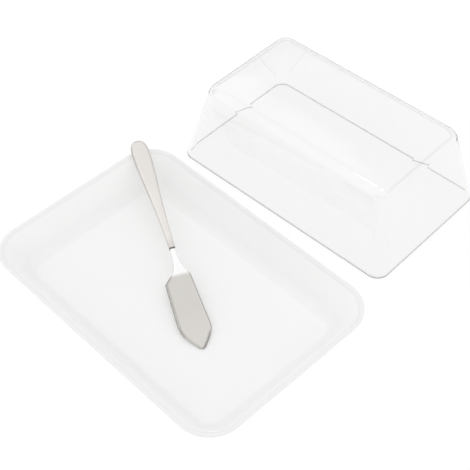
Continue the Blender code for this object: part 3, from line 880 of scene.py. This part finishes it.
# %% Satin handle
SATIN_DARKER, SATIN_PALER = (0.775, 0.742, 0.712), (0.855, 0.819, 0.788)
SATIN_STREAKS = (260, 9000, 9000)
SATIN_STRENGTH, SATIN_DEPTH = 0.08, 0.0001
SATIN_ROUGHNESS, SATIN_ROUGHER = 0.26, 0.10
# Painted shade next to the collar, and a plain darkening towards the round end, both towards one colour
COLLAR_SHADE_TO, COLLAR_SHADE = 0.0095, 0.22
END_DARK_FROM, END_DARK_TO, END_DARK = 0.085, 0.150, 0.10
SHADE_AND_DARKENING_COLOUR = (0.42, 0.39, 0.37)

nodes, along, grain, shade, steel = grained_steel(
    "satin_steel", handle, SATIN_DARKER, SATIN_PALER, SATIN_STREAKS)
# Painted shade on the collar and past the groove, fading out along the handle
collar = 1 - nodes.rise(along - joint_at, COLLAR_LENGTH, COLLAR_SHADE_TO)
toward_end = nodes.rise(along, END_DARK_FROM, END_DARK_TO)
steel = nodes.colour_between(collar * COLLAR_SHADE + toward_end * END_DARK, steel, SHADE_AND_DARKENING_COLOUR)
shader = nodes.add("BsdfPrincipled", None, {
    "Base Color": steel, "Metallic": 1.0, "Roughness": SATIN_ROUGHNESS + shade * SATIN_ROUGHER,
    "Normal": nodes.bump(SATIN_STRENGTH, SATIN_DEPTH, grain),
})
nodes.add("OutputMaterial", None, {"Surface": shader})
print("handle nodes:", len(nodes.tree.nodes))

# %% [markdown]
# The blade is brushed with shorter streaks, and a painted sheen makes it a little lighter towards its
# point. The neck is polished, and its near-white colour is a painted highlight. The blade's round edges
# turn away from the lamp, so they show as dark lines, which are painted shade in the colour. Those lines
# are drawn by the distance from each edge, which was kept with the points, and stop where the polish and
# its painted highlight begin.

# %% Brushed blade and bright neck
BRUSHED_DARKER, BRUSHED_PALER = (0.64, 0.62, 0.585), (0.69, 0.67, 0.635)
BRUSHED_STREAKS = (500, 6000, 6000)
BRUSHED_STRENGTH, BRUSHED_DEPTH = 0.04, 0.0001
BRUSHED_ROUGHNESS, BRUSHED_ROUGHER, NECK_SMOOTHER = 0.14, 0.06, 0.10
# Where the neck's polish and its painted highlight begin, as shares of the blade's length, and the
# highlight's colour
NECK_POLISH_AND_HIGHLIGHT_FROM_SHARE, NECK_POLISH_AND_HIGHLIGHT_TO_SHARE = 0.935, 1.000
NECK_HIGHLIGHT_COLOUR = (0.97, 0.97, 0.965)
# Painted sheen towards the point: where it fades, how much of it, and its colour
TIP_SHEEN_FROM, TIP_SHEEN_TO, TIP_SHEEN_SHARE = 0.010, 0.030, 0.55
TIP_SHEEN_COLOUR = (0.705, 0.685, 0.650)
NEAR_DARK_WIDTH, NEAR_DARKEST = 0.0024, 0.70
FAR_DARK_WIDTH, FAR_DARKEST = 0.0010, 0.55
TIP_DARK_WIDTH, TIP_DARKEST = 0.0026, 0.75
TIP_DARK_FROM, TIP_DARK_TO = 0.0080, 0.0130
TIP_NEAR_FADE = 0.35
# The painted shade along the edges goes towards this colour
EDGE_SHADE_COLOUR = (0.17, 0.165, 0.155)


def edge_line(distance, width, darkest):
    """How dark a line along an edge is: darkest at the edge, and nothing at its width from there."""
    return (1 - nodes.rise(distance, 0.0, width)) * darkest


nodes, along, grain, shade, steel = grained_steel(
    "polished_steel", blade, BRUSHED_DARKER, BRUSHED_PALER, BRUSHED_STREAKS)
# Painted sheen towards the point
tip_sheen = (1 - nodes.rise(along, TIP_SHEEN_FROM, TIP_SHEEN_TO)) * TIP_SHEEN_SHARE
steel = nodes.colour_between(tip_sheen, steel, TIP_SHEEN_COLOUR)
bright = nodes.rise(along, BLADE_LENGTH * NECK_POLISH_AND_HIGHLIGHT_FROM_SHARE, BLADE_LENGTH * NECK_POLISH_AND_HIGHLIGHT_TO_SHARE)
at_joint = nodes.rise(along, joint_at - JOINT_DARK_TO, joint_at - JOINT_DARK_TO / 2)
# Painted highlight: the neck is near white, up to the dark joint line
steel = nodes.colour_between(bright * (1 - at_joint), steel, NECK_HIGHLIGHT_COLOUR)
from_edges = nodes.add("Attribute", {"attribute_name": "from_edges"}, output="Vector")
near_edge = nodes.add("SeparateXYZ", None, {0: from_edges}, output="X")
far_edge = near_edge.beside("Y")
at_tip = 1 - nodes.rise(along, TIP_DARK_FROM, TIP_DARK_TO)
near_dark = edge_line(near_edge, NEAR_DARK_WIDTH, NEAR_DARKEST) * (1 - at_tip * TIP_NEAR_FADE)
far_dark = edge_line(far_edge, FAR_DARK_WIDTH, FAR_DARKEST)
tip_dark = edge_line(far_edge, TIP_DARK_WIDTH, TIP_DARKEST) * at_tip
# Painted shade along both long edges and round the point
edge_dark = near_dark.largest(far_dark).largest(tip_dark) * (1 - bright)
steel = nodes.colour_between(edge_dark, steel, EDGE_SHADE_COLOUR)
roughness = BRUSHED_ROUGHNESS + shade * BRUSHED_ROUGHER - bright * NECK_SMOOTHER
shader = nodes.add("BsdfPrincipled", None, {
    "Base Color": steel, "Metallic": 1.0, "Roughness": roughness,
    "Normal": nodes.bump(BRUSHED_STRENGTH, BRUSHED_DEPTH, grain),
})
nodes.add("OutputMaterial", None, {"Surface": shader})
print("blade nodes:", len(nodes.tree.nodes))

# %% [markdown]
# The table is set like a catalogue picture, on white paper. Straight from the camera, in metal and
# through clear plastic, the paper glows white by itself, and a small share of its real shading is mixed
# in, so the object keeps a faint shadow. Where light bounces from it, it is ordinary paper. Through
# clear plastic it glows a little less, which stands for the light that the walls take. The square's
# middle lies aside, so that the line between its two triangles doesn't cross the tray.

# %% Paper
PAPER_SIZE = 12.0
PAPER_MIDDLE = (1.0, -1.0)
PAPER_DROP = 0.0004
PAPER_GLOW = 0.91
PAPER_WHITE = 0.90
PAPER_THROUGH = 0.96
PAPER_SHADOW_SHARE = 0.11


def seen_directly(nodes):
    """1 for rays from the camera, from gloss and through clear material, else 0."""
    ray = nodes.add("LightPath", output="Is Camera Ray")
    return ray.largest(ray.beside("Is Glossy Ray")).largest(ray.beside("Is Transmission Ray"))


bpy.ops.mesh.primitive_plane_add(size=PAPER_SIZE, location=(*PAPER_MIDDLE, -PAPER_DROP))
paper = bpy.context.object
paper.name = "paper"
nodes = finish("white_paper", paper)
diffuse = nodes.add("BsdfDiffuse", None, {"Color": (PAPER_WHITE, PAPER_WHITE, PAPER_WHITE, 1.0)})
through = nodes.add("LightPath", output="Is Transmission Ray")
glow_level = (1 - through * (1 - PAPER_THROUGH)) * (PAPER_GLOW / (1 - PAPER_SHADOW_SHARE))
glow = nodes.add("Emission", None, {"Color": (1.0, 1.0, 1.0, 1.0), "Strength": glow_level})
white = nodes.add("MixShader", None, {0: PAPER_SHADOW_SHARE, 1: glow, 2: diffuse})
shader = nodes.add("MixShader", None, {0: seen_directly(nodes), 1: diffuse, 2: white})
nodes.add("OutputMaterial", None, {"Surface": shader})
print("paper:", PAPER_SIZE, "m square")

# %% [markdown]
# The room has no walls. It is a brightness for each direction, and a direction has three parts: across
# to the right, away to the side of the cover, and upward. Metal and clear plastic show it as if in a
# mirror, so its darker and brighter parts become the lines and glints along their edges.

# %% Room
HORIZON_SOFT = 0.05

world = bpy.data.worlds.new("room")
world.use_nodes = True
bpy.context.scene.world = world
nodes = Nodes(world.node_tree)
direction = nodes.add("TexCoord", output="Generated")
across = nodes.add("SeparateXYZ", None, {0: direction}, output="X")
away, upward = across.beside("Y"), across.beside("Z")
above_horizon = nodes.rise(upward, 0.0, HORIZON_SOFT)
print("the horizon is soft over", round(math.degrees(math.asin(HORIZON_SOFT)), 1), "degrees")

# %% [markdown]
# Three parts are dark. A band on the far side, darkest from 24 to 34 degrees above the horizon, draws
# the dark lines of the cover's blends. A paler band lies low on the near side, to the right of what the
# cover's near blend shows to the camera, and draws such lines for an eye behind the table. The left
# front is dark all the way up, for the edges that face that way.

# %% Dark parts of the room
# Each band is a brightness by the sine of the angle above the horizon
FAR_BAND_STOPS = ((0.00, 1.0), (0.30, 1.0), (0.40, 0.25), (0.56, 0.30), (0.63, 0.92), (0.70, 1.0))
FAR_FROM, FAR_TO = 0.05, 0.35
NEAR_BAND_STOPS = ((0.00, 1.0), (0.05, 0.55), (0.36, 0.55), (0.55, 1.0))
NEAR_FROM, NEAR_TO = 0.05, 0.30
NEAR_RIGHT_FROM, NEAR_RIGHT_TO = -0.30, -0.10
LEFT_FROM, LEFT_TO, LEFT_LEVEL = 0.62, 0.68, 0.25
LEFT_NEAR_FROM, LEFT_NEAR_TO = 0.00, 0.20

far = nodes.rise(away, FAR_FROM, FAR_TO)
far_dimming = far * (1 - nodes.ramp(upward, *FAR_BAND_STOPS))
near = nodes.rise(-away, NEAR_FROM, NEAR_TO) * nodes.rise(across, NEAR_RIGHT_FROM, NEAR_RIGHT_TO)
near_dimming = near * (1 - nodes.ramp(upward, *NEAR_BAND_STOPS))
left = nodes.rise(-across, LEFT_FROM, LEFT_TO) * nodes.rise(-away, LEFT_NEAR_FROM, LEFT_NEAR_TO)
darkened = (1 - far_dimming - near_dimming) * (1 - left * (1 - LEFT_LEVEL))
print("the far band goes down to", min(level for _, level in FAR_BAND_STOPS))

# %% [markdown]
# Three parts are bright. The whole front is a little brighter than the rest, and is mirrored in the walls
# that face the camera. A panel on the far left has straight, nearly sharp sides, and is mirrored as a
# slightly paler area. A small and much brighter streak, high on the left, becomes the glint on the cover.

# %% Bright parts of the room
FRONT_FROM, FRONT_TO, FRONT_LEVEL = 0.00, 0.30, 1.25
PANEL_SIDE = (0.0, -0.85, 0.53)
PANEL_FROM, PANEL_TO, PANEL_LEVEL = -0.125, -0.113, 1.24
PANEL_TOP_FROM, PANEL_TOP_TO = 0.76, 0.80
PANEL_LEFT_FROM, PANEL_LEFT_TO = 0.405, 0.450
STREAK_CENTRE, STREAK_HALF, STREAK_LEVEL = (-0.388, -0.03), (0.022, 0.13), 2.4
STREAK_CORE_SHARE = 0.5

front = nodes.rise(-away, FRONT_FROM, FRONT_TO) * above_horizon
side = nodes.add("VectorMath", {"operation": "DOT_PRODUCT"}, {0: direction, 1: PANEL_SIDE}, output="Value")
panel = nodes.rise(side, PANEL_FROM, PANEL_TO) * (1 - nodes.rise(upward, PANEL_TOP_FROM, PANEL_TOP_TO))
panel = panel * far * nodes.rise(-across, PANEL_LEFT_FROM, PANEL_LEFT_TO)
off_across = abs(across - STREAK_CENTRE[0]) / STREAK_HALF[0]
off_away = abs(away - STREAK_CENTRE[1]) / STREAK_HALF[1]
streak = (1 - nodes.rise(off_across.largest(off_away), STREAK_CORE_SHARE, 1.0)) * above_horizon
brightened = 1 + panel * (PANEL_LEVEL - 1) + front * (FRONT_LEVEL - 1)
room = brightened * darkened + streak * STREAK_LEVEL
print("the streak adds", STREAK_LEVEL, "to a plain room of 1")

# %% [markdown]
# Not every ray sees that room. To the camera it is plain white, like the paper. A ray that a matt
# surface has spread gets a soft light instead, stronger overhead and from the camera's side, so that the
# reflections can be shaped without changing how the tray is lit. Light Path tells the rays apart.

# %% Which rays see the room
SOFT_LOW, SOFT_RISE, SOFT_NEARER, SOFT_RIGHT = 0.705, 0.60, 0.28, 0.05

seen = nodes.add("LightPath", output="Is Camera Ray")
spread_now = seen.beside("Is Diffuse Ray")
spread_before = seen.beside("Diffuse Depth").smallest(1.0)
passed_on = seen.beside("Is Glossy Ray").largest(seen.beside("Is Transmission Ray"))
mirrored = passed_on * (1 - spread_now.largest(spread_before))
soft = SOFT_LOW + upward.largest(0.0) * SOFT_RISE - away * SOFT_NEARER + across * SOFT_RIGHT
strength = seen + (1 - seen) * (mirrored * room + (1 - mirrored) * soft)
background = nodes.add("Background", None, {"Color": (1.0, 1.0, 1.0, 1.0), "Strength": strength})
nodes.add("OutputWorld", None, {"Surface": background})
print("room nodes:", len(nodes.tree.nodes))

# %% [markdown]
# One broad square lamp hangs over the table, to the right of the tray. It gives the highlights on metal
# and the faint shadows on the paper. I set how bright the lamp itself looks and work out its power from
# that, so that a larger lamp isn't a darker one.

# %% Lamp
LAMP_PLACE, LAMP_AIM = (0.30, 0.00, 1.15), (0.05, 0.05, 0.0)
LAMP_SIDE = 0.36
LAMP_BRIGHTNESS = 1.6

lamp_data = bpy.data.lights.new("overhead", "AREA")
lamp_data.size = LAMP_SIDE
lamp_data.energy = LAMP_BRIGHTNESS * math.pi * LAMP_SIDE**2
lamp = bpy.data.objects.new("overhead", lamp_data)
lamp.location = LAMP_PLACE
lamp.rotation_euler = (Vector(LAMP_AIM) - Vector(LAMP_PLACE)).to_track_quat("-Z", "Y").to_euler()
bpy.context.scene.collection.objects.link(lamp)
print("lamp power", round(lamp_data.energy, 2), "W")

# %% Colours as they are
bpy.context.scene.view_settings.view_transform = "Standard"
